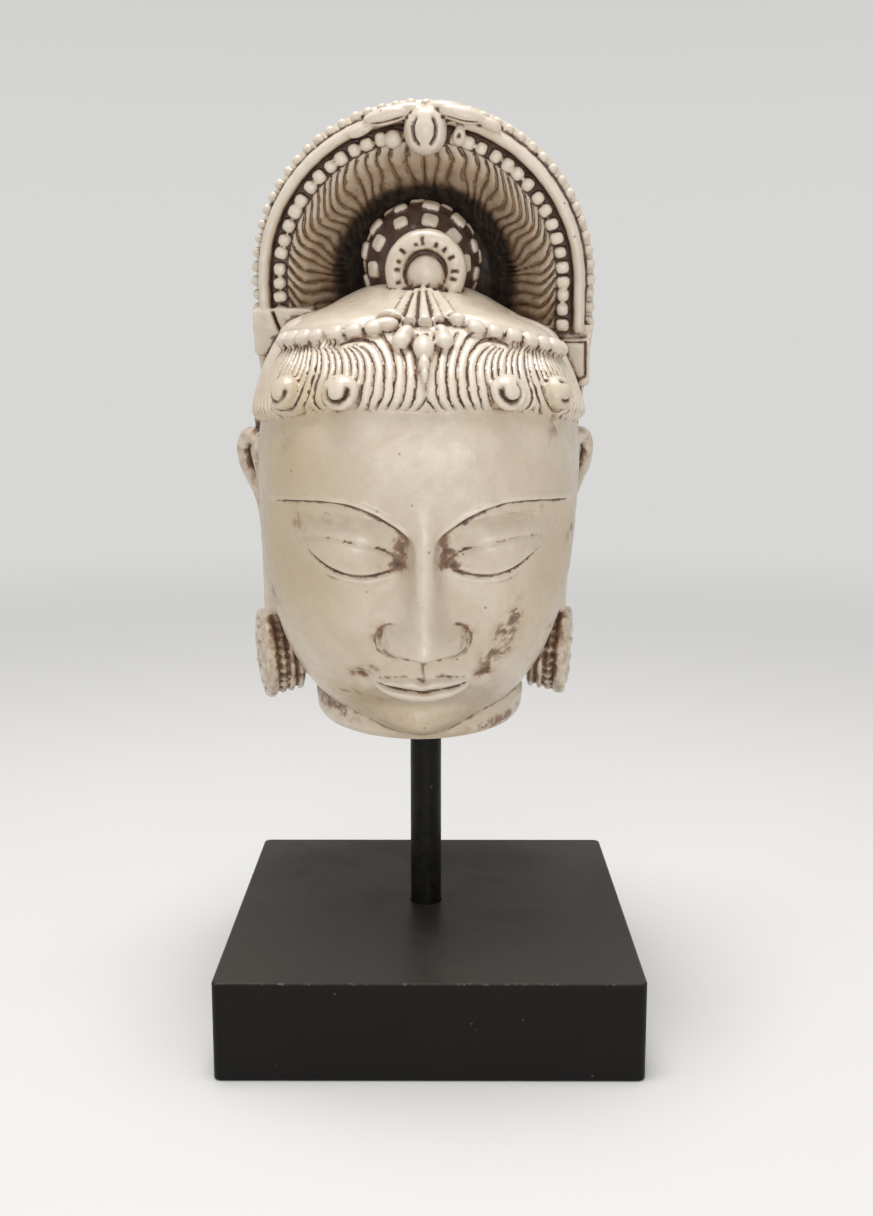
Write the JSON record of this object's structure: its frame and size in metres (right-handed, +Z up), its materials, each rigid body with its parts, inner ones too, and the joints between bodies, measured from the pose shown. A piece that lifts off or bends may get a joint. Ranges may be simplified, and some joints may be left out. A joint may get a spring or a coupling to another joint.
{
  "type": "buddha head sculpture on stand",
  "caption": "Cast stone Buddha head with combed fringe, snail curls and a looped pearl-edged hair crest, carried by a rod on a square block.",
  "frame": {"origin": "middle of the block's underside, on the surface that it stands on", "axes": "+Z up along the rod, -Y out of the face, +X towards the head's own left"},
  "size_m": [0.1503, 0.15, 0.3419],
  "materials": {
    "cast_stone": "waxed ivory cast stone, satin, with brown stain in the carving",
    "black_metal": "black paint, satin",
    "black_wood": "black paint, satin"
  },
  "bodies": {
    "root": {"head": "cast_stone", "rod": "black_metal", "base": "black_wood"}
  },
  "joints": []
}
